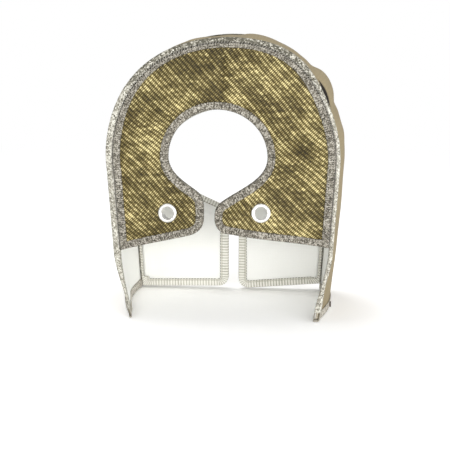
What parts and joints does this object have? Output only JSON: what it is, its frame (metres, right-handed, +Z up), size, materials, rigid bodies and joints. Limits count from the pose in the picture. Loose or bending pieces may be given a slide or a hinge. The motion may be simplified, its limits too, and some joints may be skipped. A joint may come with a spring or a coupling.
{
  "type": "turbo heat blanket",
  "caption": "Arched padded heat blanket: a deep band closed by two C-shaped cloth panels with round openings, laced at metal eyelets.",
  "frame": {"origin": "middle of the footprint, on the surface that the tail hems stand on", "axes": "+X to the right of the front panel, +Y from the front panel to the rear panel, +Z up"},
  "size_m": [0.2042, 0.1056, 0.2406],
  "materials": {
    "twill_cloth": "diagonal woven basalt cloth with a dull gold sheen",
    "band_cloth": "smooth tan woven cloth",
    "fibre_core": "needled fibre felt",
    "white_liner": "white close-woven glass cloth",
    "knit_tape": "mottled knitted tape",
    "pale_tape": "pale ladder-ribbed tape",
    "eyelet_metal": "bright polished"
  },
  "bodies": {
    "root": {"front_outer_cover": "twill_cloth", "front_insulation": "fibre_core", "front_liner": "white_liner", "front_panel_binding": "knit_tape", "rear_outer_cover": "twill_cloth", "rear_insulation": "fibre_core", "rear_liner": "white_liner", "rear_panel_binding": "pale_tape", "band_outer_cover": "band_cloth", "band_insulation": "fibre_core", "band_liner": "white_liner", "band_front_binding": "pale_tape", "band_rear_binding": "pale_tape", "left_tail_hem": "pale_tape", "right_tail_hem": "pale_tape", "front_left_eyelet": "eyelet_metal", "front_left_washer": "eyelet_metal", "front_right_eyelet": "eyelet_metal", "front_right_washer": "eyelet_metal", "rear_left_eyelet": "eyelet_metal", "rear_left_washer": "eyelet_metal", "rear_right_eyelet": "eyelet_metal", "rear_right_washer": "eyelet_metal"}
  },
  "joints": []
}
